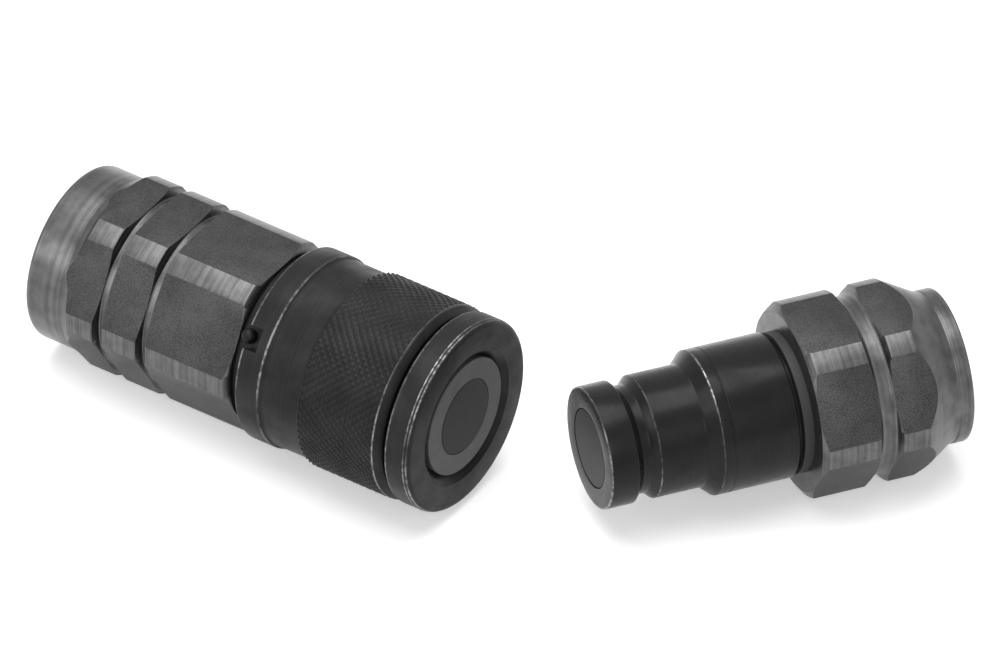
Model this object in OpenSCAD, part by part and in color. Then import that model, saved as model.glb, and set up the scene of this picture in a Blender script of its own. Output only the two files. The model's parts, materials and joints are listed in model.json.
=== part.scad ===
// Flat-face hydraulic quick coupling, uncoupled: a socket half and a plug half lying side by side.
// Each half is drawn on its own +Z axis from its front face (z = 0) rearwards, then laid down.

/* [Shared by both halves] */
// Diameter of the plug's nose and of the socket's valve sleeve
nose_d = 24.5; // [23:0.1:25.5]
// Diameter of the two centre valve faces
valve_d = 15.9; // [14:0.1:16.5]
// How far the plug enters the socket, and both valves travel
travel = 19.5; // [18:0.5:20.5]
// Width across the flats of both adapters
hex_af = 36; // [35:0.5:38]
// Diameter to which the corners of both hexagons are turned
hex_corner_d = 39.2; // [38.5:0.1:40]
// Radial running clearance of the sliding pieces
slide_gap = 0.05; // [0.02:0.01:0.1]
// Clearance between pieces that are screwed, clamped or seated together
seat_gap = 0.03; // [0.02:0.01:0.1]

/* [Locking balls] */
// Diameter of a locking ball
ball_d = 4; // [3.6:0.1:4.2]
// Number of locking balls
ball_count = 10; // [6:1:12]

/* [Socket, outside] */
// Length of the front flange
flange_l = 5.9; // [5:0.1:6.2]
// Diameter of the front flange
flange_d = 40; // [39:0.1:41]
// Rounding of the flange's front edge
flange_round = 1.2; // [0.6:0.1:1.6]
// Gap between the flange and the locking sleeve
front_gap = 0.9; // [0.5:0.1:1.2]
// Length of the locking sleeve
sleeve_l = 34.2; // [33:0.5:36]
// Diameter of the locking sleeve's rear band
sleeve_d = 40; // [39.2:0.1:41]
// Diameter over the knurl
knurl_d = 40.6; // [40:0.1:41]
// Length of the smooth front edge before the knurl
sleeve_lead_l = 1.8; // [1.2:0.1:2.2]
// Length of the knurl
knurl_l = 17.4; // [16:0.2:18]
// Diameter of the waist behind the knurl
waist_d = 39; // [38:0.1:39.6]
// Length of the rear band
band_l = 5.8; // [5:0.1:6.5]
// Width of the release notch in the sleeve's rear edge
notch_w = 4.8; // [4.2:0.1:6]
// Length of the release notch
notch_l = 3.2; // [3:0.1:3.6]
// Angle of the notch and the lock ball from straight up
notch_angle = 52; // [40:1:60]
// Gap between the sleeve and the adapter
rear_gap = 2.3; // [2:0.1:2.6]
// Length of the front hexagon
socket_hex_l = 19.3; // [18.5:0.1:21]
// Length of the middle hexagon
socket_hex2_l = 7.9; // [7:0.1:9]
// Length of the rear hexagon
socket_hex3_l = 6.1; // [5.5:0.1:7]
// Width of the two grooves between the hexagons
socket_groove_w = 2.4; // [1.8:0.1:3]
// Depth of the grooves below the flats
socket_groove_deep = 0.35; // [0.2:0.05:0.8]
// Length of the step behind the hexagons
socket_step_l = 2.4; // [1.5:0.1:3]
// Diameter of the turned rear end
socket_end_d = 35.9; // [35:0.1:36]
// Length of the turned rear end
socket_end_l = 8.6; // [7.5:0.1:10]
// Rounding of the rear edge
socket_end_round = 1; // [0.5:0.1:1.5]

/* [Socket, inside] */
// Diameter of the ball cage under the sleeve
cage_d = 30.2; // [30:0.1:31]
// Depth of the sleeve's recess over the balls, from the cage
recess_deep = 1.3; // [1.25:0.05:1.4]
// Length of the land behind the recess
land_l = 4.8; // [4:0.1:5.5]
// Depth of the sleeve's spring chamber, from the cage
chamber_deep = 2.3; // [2.1:0.1:2.4]
// Length of the guide ring that carries the lock ball
guide_l = 4.9; // [4.5:0.1:5.5]
// Diameter of the lock ball
lock_ball_d = 3; // [2.6:0.1:3.2]
// Wire of the sleeve's spring
sleeve_wire = 1.4; // [1.1:0.1:1.5]
// Turns of the sleeve's spring
sleeve_turns = 4.5; // [3.5:0.5:5.5]
// How far the valve faces stand behind the flange's front face
face_deep = 0.4; // [0.3:0.05:0.6]
// Depth of the bevel at the mouth
mouth_bevel = 1.7; // [1.2:0.1:1.8]
// Width of the nose seal's groove
nose_seal_w = 3.2; // [3:0.1:3.6]
// Depth of the nose seal's groove
nose_seal_deep = 1.7; // [1.6:0.05:1.8]
// Length of the valve seat in the valve sleeve
seat_l = 6.2; // [6:0.1:7]
// Wall of the valve sleeve
valve_wall = 1.7; // [1.5:0.1:1.9]
// Length of the valve sleeve's rear flange
valve_flange_l = 3; // [2.6:0.1:3.4]
// How far that flange stands out
valve_flange_out = 0.75; // [0.6:0.05:0.9]
// Wire of the valve sleeve's spring
valve_wire = 1.5; // [1.2:0.1:1.6]
// Turns of the valve sleeve's spring
valve_turns = 5.5; // [4.5:0.5:6]
// Diameter of the stem
stem_d = 8; // [7:0.5:9]
// Diameter of the stem's threaded tail
stem_tail_d = 6; // [5:0.5:6]
// Thickness of the spider that carries the stem
spider_t = 3; // [2.6:0.1:3.6]
// Width across the flats of the stem's nut
nut_af = 10; // [9.6:0.1:11]
// Height of the stem's nut
nut_h = 3.2; // [2.8:0.1:3.6]

/* [Plug, outside] */
// Distance from the plug's face to its ball groove
groove_front = 5.7; // [5:0.1:6]
// Width of the ball groove at the nose
groove_w = 4.7; // [4.5:0.1:5]
// Depth of the ball groove
groove_deep = 1.45; // [1.3:0.05:1.6]
// Clearance between the shoulder and the socket's face when coupled
shoulder_clear = 0.7; // [0.5:0.1:1]
// Length of the cone up to the shoulder
shoulder_cone_l = 2.4; // [2:0.1:3]
// Diameter of the plug's shoulder
shoulder_d = 28.95; // [28:0.1:30]
// Distance of the fine turned line from the cone
line_at = 2.2; // [1.5:0.1:3]
// Length of the shoulder, without its cone
shoulder_l = 15.8; // [15:0.1:17]
// Diameter of the neck in front of the hexagon
neck_d = 26.4; // [26:0.1:27]
// Length of the neck
neck_l = 3; // [2.6:0.1:3.5]
// Length of the front hexagon
plug_hex_l = 11.7; // [11:0.1:13]
// Width of the turned groove between the hexagons
plug_groove_w = 4.8; // [4:0.1:5.5]
// Diameter at the bottom of that groove
plug_groove_d = 35.4; // [34.5:0.1:35.8]
// Length of the rear hexagon
plug_hex2_l = 5.4; // [5:0.1:6.5]
// Length of the rear cone
plug_cone_l = 8.4; // [7.5:0.1:9.5]
// Diameter at the small end of the cone
plug_cone_d = 30.1; // [29:0.1:30.4]
// Diameter of the rear collar
plug_end_d = 30.6; // [30.4:0.1:31.5]
// Length of the rear collar
plug_end_l = 2.6; // [2:0.1:3.5]

/* [Plug, inside] */
// Length of the plug's valve bore up to its seat
plug_bore_l = 8.5; // [8:0.1:9.5]
// Diameter of the plug's flow chamber
chamber_d = 20.4; // [20:0.1:21]
// Thickness of the valve's stop flange
plug_flange_t = 3; // [2.6:0.1:3.4]
// Diameter of the valve's tail
tail_d = 6; // [5:0.5:6.5]
// Thickness of the guide's disc
guide_t = 2.5; // [2.2:0.1:3]
// Wall of the guide's hub
hub_wall = 1.5; // [1.2:0.1:1.8]
// Length of the guide's hub
hub_l = 12; // [10:0.5:13]
// Wire of the plug's valve spring
plug_wire = 1.2; // [1:0.1:1.4]
// Turns of the plug's valve spring
plug_turns = 8.5; // [7:0.5:9.5]

/* [Ports and seals] */
// Inner diameter of both pipe threads
port_d = 18.64; // [18.2:0.02:19]
// Outer diameter of both pipe threads
port_major_d = 20.96; // [20.6:0.02:21.2]
// Full depth of both ports
port_l = 14; // [12:0.5:14.5]
// Width of the runout at the bottom of a port
runout_w = 2.4; // [1.8:0.1:3]
// Bore between a port and the valve chamber
flow_d = 17; // [15:0.5:17.6]
// Thickness of the body seals
body_seal_d = 1.5; // [1.2:0.1:1.6]
// Thickness of the valve seals
valve_seal_d = 1.6; // [1.4:0.1:1.7]

/* [Lying side by side] */
// Heading of the socket's rear end
socket_heading = 146; // [130:1:160]
// Heading of the plug's rear end
plug_heading = 22.1; // [10:1:35]
// Distance from the socket's face to the plug's face, along X
apart_x = 23.9; // [22:0.5:60]
// Distance from the socket's face to the plug's face, along Y
apart_y = -4.1; // [-10:0.5:10]

/* [Hidden] */
$fn = 96;
over = 1;

// Hexagon and edge forms
hex_bevel_r = 1.5;
hex_bevel_l = 1;
edge = 0.4;

// Both halves
valve_seal_t = valve_seal_d - seat_gap;
valve_seal_play = 0.3;
nose_r = nose_d / 2;
valve_r = valve_d / 2;
cage_r = cage_d / 2;
sleeve_r = sleeve_d / 2;
hex_r = hex_corner_d / 2;
flat_r = hex_af / 2;
port_r = port_d / 2;

// Socket, outside, from the front
sleeve_z0 = flange_l + front_gap;
knurl_z0 = sleeve_z0 + sleeve_lead_l;
knurl_z1 = knurl_z0 + knurl_l;
knurl_end_l = 1;
knurl_deep = 0.45;
band_slope_l = 0.8;
lead_inset = 0.2;
flange_rear_round = 0.8;
sleeve_z1 = sleeve_z0 + sleeve_l;
band_z0 = sleeve_z1 - band_l;
adapter_z0 = sleeve_z1 + rear_gap;
sg1_z0 = adapter_z0 + socket_hex_l;
sg1_z1 = sg1_z0 + socket_groove_w;
sg2_z0 = sg1_z1 + socket_hex2_l;
sg2_z1 = sg2_z0 + socket_groove_w;
sstep_z0 = sg2_z1 + socket_hex3_l;
sstep_z1 = sstep_z0 + socket_step_l;
socket_z1 = sstep_z1 + socket_end_l;
sleeve_travel = rear_gap - 0.3;

// Socket, inside
groove_mid = groove_front + groove_w / 2;
ball_z = travel - groove_mid;
ball_r = ball_d / 2;
ball_ring_r = nose_r + 0.02 + ball_r;
bore_r = nose_r + slide_gap;
recess_r = cage_r + recess_deep;
land_r = cage_r + slide_gap;
ramp_l = 1;
land_z0 = ball_z + ball_r + 0.1;
land_z1 = land_z0 + land_l;
chamber_r = cage_r + chamber_deep;
guide_z0 = adapter_z0 - guide_l;
lock_ball_wall = 0.4;
lock_z = adapter_z0 - lock_ball_wall - lock_ball_d / 2;
lock_ring_r = chamber_r + 0.6;
seal_z0 = ball_z + ball_r + 1.7;
seal_z1 = seal_z0 + nose_seal_w;
seal_groove_r = bore_r + nose_seal_deep;
nose_seal_t = nose_seal_deep - seat_gap;
valve_stop_z = seal_z1 + 6;
valve_z0 = valve_stop_z + seat_gap;
valve_z1 = valve_z0 + valve_flange_l;
valve_flange_r = nose_r + valve_flange_out;
rear_bore_r = valve_flange_r + slide_gap;
valve_in_r = nose_r - valve_wall;
spring_solid = (valve_turns + 1) * valve_wire;
spider_z0 = valve_z1 + travel + spring_solid;
spider_z1 = spider_z0 + spider_t;
socket_thread_r = cage_r + seat_gap;
head_r = valve_r - slide_gap;
head_l = seat_l;
neck_z = face_deep + head_l + 3;
tail_z1 = spider_z1 + nut_h + 0.8;
stem_seal_z = face_deep + 2;
body_seal_z = adapter_z0 + 4;

// Plug, outside, from the front
plug_nose_l = travel + shoulder_clear;
shoulder_z0 = plug_nose_l + shoulder_cone_l;
shoulder_z1 = shoulder_z0 + shoulder_l;
plug_hex_z0 = shoulder_z1 + neck_l;
pg_z0 = plug_hex_z0 + plug_hex_l;
pg_z1 = pg_z0 + plug_groove_w;
pcone_z0 = pg_z1 + plug_hex2_l;
pcone_z1 = pcone_z0 + plug_cone_l;
plug_z1 = pcone_z1 + plug_end_l;

// Plug, inside
plug_bore_r = valve_r + slide_gap + 0.05;
chamber_pr = chamber_d / 2;
seat_z1 = plug_bore_l + (chamber_pr - plug_bore_r);
stop_r = chamber_pr - 1;
stop_z0 = plug_bore_l + (stop_r - plug_bore_r) + slide_gap;
plug_seal_z = 3.4;
stop_z1 = stop_z0 + plug_flange_t;
tail_r = tail_d / 2;
hub_in_r = tail_r + slide_gap;
hub_r = hub_in_r + hub_wall;
plug_spring_solid = (plug_turns + 1) * plug_wire;
disc_z0 = stop_z1 + travel + plug_spring_solid + 9;
disc_z1 = disc_z0 + guide_t;
plug_thread_r = neck_d / 2 - 0.1;
plug_tail_z = disc_z0 - hub_l + 4;

// Laying down: the socket leans from the sleeve's rear band to its turned end
lean = atan((sleeve_r - socket_end_d / 2) / (socket_z1 - socket_end_round - sleeve_z1 + edge));
socket_h = (sleeve_z1 - edge) * sin(lean) + sleeve_r * cos(lean);
plug_h = flat_r;
socket_dir = [cos(lean) * cos(socket_heading), cos(lean) * sin(socket_heading), -sin(lean)];
plug_dir = [cos(plug_heading), sin(plug_heading), 0];

// Furthest reach along world axis k of a turned edge: distance z and radius r on a half's axis,
// widened by the radius of its rounding where z and r are the rounding's centre
function reach(dir, k, z, r, side, round = 0) = z * dir[k] + side * (r * sqrt(1 - dir[k] * dir[k]) + round);
function socket_end_reach(k, side) =
    reach(socket_dir, k, socket_z1 - socket_end_round, socket_end_d / 2 - socket_end_round, side, socket_end_round);
function flange_reach(k, side) =
    reach(socket_dir, k, flange_round, flange_d / 2 - flange_round, side, flange_round);
function plug_end_reach(k, side) =
    let (a = reach(plug_dir, k, plug_z1, plug_end_d / 2 - edge, side),
         b = reach(plug_dir, k, plug_z1 - edge, plug_end_d / 2, side))
    side > 0 ? max(a, b) : min(a, b);
function plug_face_reach(k, side) =
    let (a = reach(plug_dir, k, 0, nose_r - edge, side), b = reach(plug_dir, k, edge, nose_r, side))
    side > 0 ? max(a, b) : min(a, b);
x_low = socket_end_reach(0, -1);
x_high = apart_x + plug_end_reach(0, 1);
y_low = min(flange_reach(1, -1), apart_y + plug_face_reach(1, -1));
y_high = socket_end_reach(1, 1);
mid = [(x_low + x_high) / 2, (y_low + y_high) / 2];

module lay_socket() {
    translate([-mid[0], -mid[1], socket_h]) rotate([0, 90 + lean, socket_heading]) children();
}

module lay_plug() {
    translate([apart_x - mid[0], apart_y - mid[1], plug_h]) rotate([0, 90, plug_heading]) children();
}

// Points of a quarter or other arc, from angle a0 to a1
function arc(c, r, a0, a1, n = 5) =
    [for (i = [0:n]) c + r * [cos(a0 + (a1 - a0) * i / n), sin(a0 + (a1 - a0) * i / n)]];

module turned(points) {
    rotate_extrude() polygon(points);
}

module drill(r, z0, z1) {
    translate([0, 0, z0]) cylinder(r = r, h = z1 - z0);
}

module cone_bore(r0, r1, z0, z1) {
    translate([0, 0, z0]) cylinder(r1 = r0, r2 = r1, h = z1 - z0);
}

module ring(r_in, r_out, z0, z1) {
    rotate_extrude() translate([r_in, z0]) square([r_out - r_in, z1 - z0]);
}

module o_ring(r_mid, thick, z) {
    rotate_extrude() translate([r_mid, z]) circle(d = thick, $fn = 32);
}

// Hexagonal bar with a flat facing up and down
module hex_bar(z0, z1) {
    translate([0, 0, z0]) rotate(30) cylinder(r = flat_r / cos(30), h = z1 - z0, $fn = 6);
}

// Wire coil as one swept tube with closed ends
module coil(r_mid, wire, turns, z0, z1, sides = 8, steps = 20) {
    rings = ceil(turns * steps);
    rise = z1 - z0 - wire;
    points = [
        for (i = [0:rings], k = [0:sides - 1])
            let (a = 360 * turns * i / rings, b = 360 * k / sides, r = r_mid + wire / 2 * cos(b))
            [r * cos(a), r * sin(a), z0 + wire / 2 + rise * i / rings + wire / 2 * sin(b)]
    ];
    walls = [
        for (i = [0:rings - 1], k = [0:sides - 1])
            [i * sides + k, i * sides + (k + 1) % sides, (i + 1) * sides + (k + 1) % sides, (i + 1) * sides + k]
    ];
    first = [for (k = [sides - 1:-1:0]) k];
    last = [for (k = [0:sides - 1]) rings * sides + k];
    polyhedron(points, concat(walls, [first, last]));
}

// ---- socket half ----

// Flange, ball cage and threaded rear of the socket's body
module socket_body() {
    color("#262626") lay_socket() difference() {
        turned(concat(
            [[0, 0]],
            arc([flange_d / 2 - flange_round, flange_round], flange_round, -90, 0),
            arc([flange_d / 2 - flange_rear_round, flange_l - flange_rear_round], flange_rear_round, 0, 60),
            [[flange_d / 2 - 1.4, flange_l], [cage_r, flange_l], [cage_r, spider_z0], [0, spider_z0]]
        ));
        drill(bore_r, -over, valve_stop_z + over);
        drill(rear_bore_r, valve_stop_z, spider_z0 + over);
        cone_bore(bore_r + mouth_bevel + 0.2, bore_r, 0, mouth_bevel);
        drill(seal_groove_r, seal_z0, seal_z1);
        body_seal_groove(cage_r, body_seal_z);
        for (i = [0:ball_count - 1]) rotate([0, 0, i * 360 / ball_count]) ball_hole();
    }
}

// Tapered hole that lets a locking ball reach in but not fall through
module ball_hole() {
    waist = bore_r + 0.6;
    translate([0, 0, ball_z]) rotate([0, 90, 0]) {
        translate([0, 0, waist]) cylinder(r = ball_r + slide_gap, h = cage_r - waist + over, $fn = 48);
        translate([0, 0, bore_r - 0.6]) cylinder(r1 = ball_r - 0.25, r2 = ball_r + slide_gap, h = 1.2, $fn = 48);
    }
}

// Groove for a body seal, cut into a shaft of radius r
module body_seal_groove(r, z) {
    ring(r - body_seal_d, r + over, z, z + body_seal_d + 0.5);
}

// Groove in a valve's head for the seal that closes a bore of radius r
module valve_seal_groove(r, z) {
    ring(r - valve_seal_d - seat_gap, r + over, z, z + valve_seal_d + valve_seal_play);
}

module valve_seal(r, z) {
    o_ring(r - seat_gap - valve_seal_t / 2, valve_seal_t, z + (valve_seal_d + valve_seal_play) / 2);
}

module socket_sleeve_profile() {
    lead_r = waist_d / 2 - lead_inset;
    knurl_r = knurl_d / 2 - knurl_deep;
    polygon(concat(
        [[recess_r, sleeve_z0], [lead_r - 0.8, sleeve_z0]],
        arc([knurl_r - sleeve_lead_l + lead_inset, knurl_z0 - 0.1], sleeve_lead_l - lead_inset, -75, 0),
        [[knurl_r, knurl_z0], [knurl_r, knurl_z1], [waist_d / 2, knurl_z1 + knurl_end_l],
         [waist_d / 2, band_z0], [sleeve_r, band_z0 + band_slope_l], [sleeve_r, sleeve_z1 - edge],
         [sleeve_r - edge, sleeve_z1], [chamber_r, sleeve_z1], [chamber_r, land_z1],
         [land_r, land_z1], [land_r, land_z0 + ramp_l], [recess_r, land_z0]]
    ));
}
// Knurled sleeve that holds the balls in the plug's groove
module locking_sleeve() {
    color("#242424") lay_socket() difference() {
        rotate_extrude() socket_sleeve_profile();
        rotate([0, 0, 180 - notch_angle]) translate([chamber_r - over, -notch_w / 2, sleeve_z1 - notch_l])
            cube([sleeve_r, notch_w, notch_l + over]);
    }
}

module sleeve_spring() {
    color("silver") lay_socket()
        coil(land_r + 0.3 + sleeve_wire / 2, sleeve_wire, sleeve_turns, land_z1 + seat_gap, guide_z0 - seat_gap);
}

// Ring that guides the sleeve's rear end and carries the lock ball
module sleeve_guide_ring() {
    color("#242424") lay_socket() difference() {
        ring(cage_r + seat_gap, chamber_r - slide_gap, guide_z0, adapter_z0 - seat_gap);
        rotate([0, 0, 180 - notch_angle]) translate([0, 0, lock_z]) rotate([0, 90, 0])
            translate([0, 0, lock_ring_r - lock_ball_d / 2 - seat_gap])
                cylinder(d = lock_ball_d + 2 * seat_gap, h = lock_ball_d + over, $fn = 48);
    }
}

module sleeve_lock_ball() {
    color("silver") lay_socket() rotate([0, 0, 180 - notch_angle]) translate([lock_ring_r, 0, lock_z])
        sphere(d = lock_ball_d, $fn = 32);
}

module locking_balls() {
    color("silver") lay_socket() for (i = [0:ball_count - 1])
        rotate([0, 0, i * 360 / ball_count]) translate([ball_ring_r, 0, ball_z]) sphere(d = ball_d, $fn = 32);
}

module nose_seal() {
    color("#202020") lay_socket()
        o_ring(nose_r + seat_gap + nose_seal_t / 2, nose_seal_t, seal_z1 - seat_gap - nose_seal_t / 2);
}

module nose_backup_ring() {
    color("ivory") lay_socket()
        ring(nose_r + seat_gap, seal_groove_r - seat_gap, seal_z0 + seat_gap, seal_z1 - nose_seal_t - 2 * seat_gap);
}

// Outer valve: a sleeve that covers the balls and closes on the stem's head
module valve_sleeve() {
    color("#5a5a5a") lay_socket() difference() {
        turned([[0, face_deep], [nose_r - 0.15, face_deep], [nose_r, face_deep + 0.15],
                [nose_r, valve_z0], [valve_flange_r, valve_z0], [valve_flange_r, valve_z1], [0, valve_z1]]);
        drill(valve_r, 0, face_deep + seat_l + over);
        cone_bore(valve_r, valve_in_r, face_deep + seat_l, face_deep + seat_l + 2.5);
        drill(valve_in_r, face_deep + seat_l + 2.5 - 0.001, valve_z1 + over);
    }
}

module valve_sleeve_spring() {
    color("silver") lay_socket()
        coil(rear_bore_r - 0.25 - valve_wire / 2, valve_wire, valve_turns, valve_z1 + seat_gap,
             spider_z0 - seat_gap);
}

// Fixed centre valve: head, neck and threaded tail
module socket_stem() {
    color("#2b2b2b") lay_socket() difference() {
        turned([[0, face_deep - 0.1], [head_r - 0.25, face_deep - 0.1], [head_r, face_deep + 0.15],
                [head_r, face_deep + head_l - 0.4], [stem_d / 2, neck_z], [stem_d / 2, spider_z0 - seat_gap],
                [stem_tail_d / 2, spider_z0 - seat_gap], [stem_tail_d / 2, tail_z1], [0, tail_z1]]);
        valve_seal_groove(valve_r, stem_seal_z);
    }
}

module stem_seal() {
    color("#202020") lay_socket()
        valve_seal(valve_r, stem_seal_z);
}

// Spoked disc clamped behind the body, which carries the stem and the valve spring
module stem_spider() {
    hub_out = stem_d / 2 + 2;
    rim_in = rear_bore_r - 2.4;
    color("#8a8a8a") lay_socket() difference() {
        ring(stem_tail_d / 2 + seat_gap, cage_r, spider_z0 + seat_gap, spider_z1);
        for (i = [0:3]) rotate([0, 0, i * 90 + 15])
            translate([0, 0, spider_z0 - over]) rotate_extrude(angle = 60)
                translate([hub_out, 0]) square([rim_in - hub_out, spider_t + 2 * over]);
    }
}

module stem_nut() {
    color("#8a8a8a") lay_socket() difference() {
        translate([0, 0, spider_z1 + seat_gap]) cylinder(r = nut_af / 2 / cos(30), h = nut_h, $fn = 6);
        drill(stem_tail_d / 2 + seat_gap, spider_z1, spider_z1 + nut_h + over);
    }
}

module socket_body_seal() {
    color("#202020") lay_socket()
        o_ring(cage_r - body_seal_d / 2 + seat_gap / 2, body_seal_d - seat_gap,
               body_seal_z + body_seal_d / 2 + 0.25);
}

// Port thread cut: minor bore, runout, mouth bevel and the way on to the chamber
module port_cut(z1) {
    drill(port_r, z1 - port_l, z1 + over);
    drill(port_major_d / 2 + 0.2, z1 - port_l, z1 - port_l + runout_w);
    cone_bore(port_r, port_major_d / 2 + 0.3, z1 - (port_major_d / 2 + 0.3 - port_r), z1 + 0.001);
}

// Groove between two hexagons, with sloping walls
module hex_groove(z0, z1, floor_r, slope) {
    rotate_extrude() polygon([
        [floor_r, z0 + slope], [floor_r, z1 - slope], [hex_r + 0.01, z1], [hex_r + over, z1],
        [hex_r + over, z0], [hex_r + 0.01, z0]
    ]);
}

module socket_adapter() {
    end_r = socket_end_d / 2;
    well_z1 = spider_z1 + nut_h + 3;
    color("#6a6a6a") lay_socket() difference() {
        intersection() {
            turned(concat(
                [[0, adapter_z0], [hex_r - hex_bevel_r, adapter_z0], [hex_r, adapter_z0 + hex_bevel_l],
                 [hex_r, sstep_z0], [end_r + 0.35, sstep_z0 + 0.9], [end_r, sstep_z1]],
                arc([end_r - socket_end_round, socket_z1 - socket_end_round], socket_end_round, 0, 90),
                [[0, socket_z1]]
            ));
            hex_bar(adapter_z0 - over, socket_z1 + over);
        }
        hex_groove(sg1_z0, sg1_z1, flat_r - socket_groove_deep, 0.5);
        hex_groove(sg2_z0, sg2_z1, flat_r - socket_groove_deep, 0.5);
        drill(socket_thread_r, adapter_z0 - over, spider_z1);
        drill(rear_bore_r - 1.6, spider_z1 - 0.001, well_z1);
        cone_bore(rear_bore_r - 1.6, flow_d / 2, well_z1 - 0.001, well_z1 + 2.5);
        drill(flow_d / 2, well_z1, socket_z1);
        port_cut(socket_z1);
    }
}

// ---- plug half ----

module plug_body() {
    groove_r = nose_r - groove_deep;
    floor_l = groove_w - 2 * groove_deep;
    shoulder_r = shoulder_d / 2;
    color("#1e1e1e") lay_plug() difference() {
        turned([
            [0, 0], [nose_r - edge, 0], [nose_r, edge], [nose_r, groove_front],
            [groove_r, groove_front + groove_deep], [groove_r, groove_front + groove_deep + floor_l],
            [nose_r, groove_front + groove_w], [nose_r, plug_nose_l], [shoulder_r, shoulder_z0],
            [shoulder_r, shoulder_z0 + line_at], [shoulder_r - 0.12, shoulder_z0 + line_at + 0.1],
            [shoulder_r - 0.12, shoulder_z0 + line_at + 0.3], [shoulder_r, shoulder_z0 + line_at + 0.4],
            [shoulder_r, shoulder_z1 - edge], [shoulder_r - edge, shoulder_z1], [neck_d / 2, shoulder_z1],
            [neck_d / 2, plug_hex_z0 - seat_gap], [plug_thread_r, plug_hex_z0 - seat_gap],
            [plug_thread_r, disc_z0], [0, disc_z0]
        ]);
        drill(plug_bore_r, -over, seat_z1);
        cone_bore(plug_bore_r, chamber_pr, plug_bore_l, seat_z1);
        drill(chamber_pr, seat_z1 - 0.001, disc_z0 + over);
        body_seal_groove(plug_thread_r, plug_hex_z0 + 2.5);
    }
}

module plug_neck_ring() {
    color("#2a2a2a") lay_plug()
        ring(neck_d / 2 + seat_gap, neck_d / 2 + 0.9, shoulder_z1 + 1, plug_hex_z0 - seat_gap);
}

module plug_body_seal() {
    color("#202020") lay_plug()
        o_ring(plug_thread_r - body_seal_d / 2 + seat_gap / 2, body_seal_d - seat_gap,
               plug_hex_z0 + 2.5 + body_seal_d / 2 + 0.25);
}

module plug_adapter() {
    cone_r = plug_cone_d / 2;
    end_r = plug_end_d / 2;
    color("#6a6a6a") lay_plug() difference() {
        intersection() {
            turned([
                [0, plug_hex_z0], [hex_r - hex_bevel_r, plug_hex_z0], [hex_r, plug_hex_z0 + hex_bevel_l],
                [hex_r, pcone_z0], [cone_r + (hex_r - cone_r) * 0.12, pcone_z1 - plug_cone_l * 0.2],
                [cone_r, pcone_z1 - 0.4], [end_r, pcone_z1], [end_r, plug_z1 - edge],
                [end_r - edge, plug_z1], [0, plug_z1]
            ]);
            hex_bar(plug_hex_z0 - over, plug_z1 + over);
        }
        hex_groove(pg_z0, pg_z1, plug_groove_d / 2, 0.9);
        drill(plug_thread_r + seat_gap, plug_hex_z0 - over, disc_z1);
        drill(flow_d / 2, disc_z0, plug_z1);
        port_cut(plug_z1);
    }
}

// Sprung centre valve of the plug: head, stop flange and guided tail
module plug_valve() {
    head_pr = plug_bore_r - slide_gap;
    color("#303030") lay_plug() difference() {
        turned([
            [0, 0.05], [head_pr - 0.25, 0.05], [head_pr, 0.3], [head_pr, plug_bore_l],
            [stop_r, stop_z0], [stop_r, stop_z1], [tail_r + 1, stop_z1], [tail_r, stop_z1 + 1],
            [tail_r, plug_tail_z - edge], [tail_r - edge, plug_tail_z], [0, plug_tail_z]
        ]);
        valve_seal_groove(plug_bore_r, plug_seal_z);
    }
}

module plug_valve_seal() {
    color("#202020") lay_plug()
        valve_seal(plug_bore_r, plug_seal_z);
}

module plug_valve_spring() {
    color("silver") lay_plug()
        coil(hub_r + 0.5 + plug_wire / 2, plug_wire, plug_turns, stop_z1 + seat_gap, disc_z0);
}

// Spoked disc with a long hub that guides the valve's tail
module plug_guide() {
    rim_in = chamber_pr - 1.4;
    spoke_out = hub_r + plug_wire + 1.2;
    color("#8a8a8a") lay_plug() difference() {
        union() {
            ring(hub_in_r, hub_r, disc_z0 - hub_l, disc_z1);
            ring(hub_in_r, plug_thread_r, disc_z0 + seat_gap, disc_z1);
        }
        for (i = [0:3]) rotate([0, 0, i * 90 + 15])
            translate([0, 0, disc_z0 - over]) rotate_extrude(angle = 60)
                translate([spoke_out, 0]) square([rim_in - spoke_out, guide_t + 2 * over]);
    }
}

socket_body();
locking_sleeve();
sleeve_spring();
sleeve_guide_ring();
sleeve_lock_ball();
locking_balls();
nose_seal();
nose_backup_ring();
valve_sleeve();
valve_sleeve_spring();
socket_stem();
stem_seal();
stem_spider();
stem_nut();
socket_body_seal();
socket_adapter();
plug_body();
plug_neck_ring();
plug_body_seal();
plug_adapter();
plug_valve();
plug_valve_seal();
plug_valve_spring();
plug_guide();
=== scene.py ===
import json
import math

import bmesh
import bpy
from bpy.props import FloatProperty, FloatVectorProperty, IntProperty, PointerProperty
from mathutils import Matrix, Vector


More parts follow.
